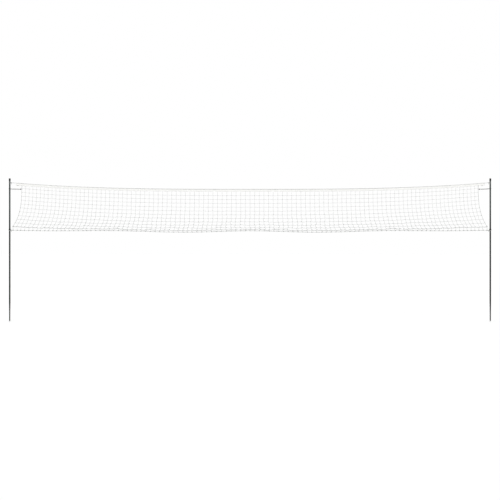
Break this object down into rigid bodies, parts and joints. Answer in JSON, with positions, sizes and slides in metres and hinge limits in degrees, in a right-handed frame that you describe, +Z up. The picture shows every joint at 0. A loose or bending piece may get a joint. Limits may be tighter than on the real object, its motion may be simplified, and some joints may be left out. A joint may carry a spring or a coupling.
{
  "type": "volleyball net",
  "caption": "Long low garden volleyball net with a folded top tape, tied by lines and elastic cords between two dark plug-together poles with ground spikes.",
  "frame": {"origin": "midway between the two poles, level with the tips of the ground spikes", "axes": "+X along the net towards the right pole, +Y away from the side seen from the front, +Z up"},
  "size_m": [5.0246, 0.0246, 1.488],
  "materials": {
    "pole_paint": "gloss",
    "spike_plastic": "satin",
    "cap_rubber": "matte",
    "collar_rubber": "matte",
    "line_cord": "twisted",
    "net_twine": "braided",
    "tape_fabric": "woven",
    "elastic_cord": "braided",
    "ball_plastic": "gloss"
  },
  "bodies": {
    "ground_spikes": {"left_ground_spike": "spike_plastic", "right_ground_spike": "spike_plastic"},
    "left_section_1": {"left_tube_1": "pole_paint"},
    "left_section_2": {"left_tube_2": "pole_paint"},
    "left_section_3": {"left_tube_3": "pole_paint"},
    "left_section_4": {"left_tube_4": "pole_paint", "left_top_cap": "cap_rubber"},
    "right_section_1": {"right_tube_1": "pole_paint"},
    "right_section_2": {"right_tube_2": "pole_paint"},
    "right_section_3": {"right_tube_3": "pole_paint"},
    "right_section_4": {"right_tube_4": "pole_paint", "right_top_cap": "cap_rubber"},
    "net": {"left_side_line": "line_cord", "left_top_tie": "line_cord", "left_bottom_tie": "line_cord", "left_stop_collar": "collar_rubber", "left_elastic_tie": "elastic_cord", "left_tie_ball": "ball_plastic", "right_side_line": "line_cord", "right_top_tie": "line_cord", "right_bottom_tie": "line_cord", "right_stop_collar": "collar_rubber", "right_elastic_tie": "elastic_cord", "right_tie_ball": "ball_plastic", "net_mesh": "net_twine", "tape": "tape_fabric", "top_line": "line_cord", "bottom_line": "line_cord"}
  },
  "joints": [
    {"name": "left_pull_1", "type": "slide", "parent": "ground_spikes", "child": "left_section_1", "axis": [0, 0, 1], "range_m": [0, 0.06]},
    {"name": "left_pull_2", "type": "slide", "parent": "left_section_1", "child": "left_section_2", "axis": [0, 0, 1], "range_m": [0, 0.06]},
    {"name": "left_pull_3", "type": "slide", "parent": "left_section_2", "child": "left_section_3", "axis": [0, 0, 1], "range_m": [0, 0.06]},
    {"name": "left_pull_4", "type": "slide", "parent": "left_section_3", "child": "left_section_4", "axis": [0, 0, 1], "range_m": [0, 0.06]},
    {"name": "right_pull_1", "type": "slide", "parent": "ground_spikes", "child": "right_section_1", "axis": [0, 0, 1], "range_m": [0, 0.06]},
    {"name": "right_pull_2", "type": "slide", "parent": "right_section_1", "child": "right_section_2", "axis": [0, 0, 1], "range_m": [0, 0.06]},
    {"name": "right_pull_3", "type": "slide", "parent": "right_section_2", "child": "right_section_3", "axis": [0, 0, 1], "range_m": [0, 0.06]},
    {"name": "right_pull_4", "type": "slide", "parent": "right_section_3", "child": "right_section_4", "axis": [0, 0, 1], "range_m": [0, 0.06]},
    {"name": "net_height", "type": "slide", "parent": "left_section_4", "child": "net", "axis": [0, 0, -1], "range_m": [0, 0.7]}
  ],
  "couplings": [
    {"joint": "right_pull_1", "follows": "left_pull_1", "ratio": 1},
    {"joint": "right_pull_2", "follows": "left_pull_2", "ratio": 1},
    {"joint": "right_pull_3", "follows": "left_pull_3", "ratio": 1},
    {"joint": "right_pull_4", "follows": "left_pull_4", "ratio": 1}
  ]
}
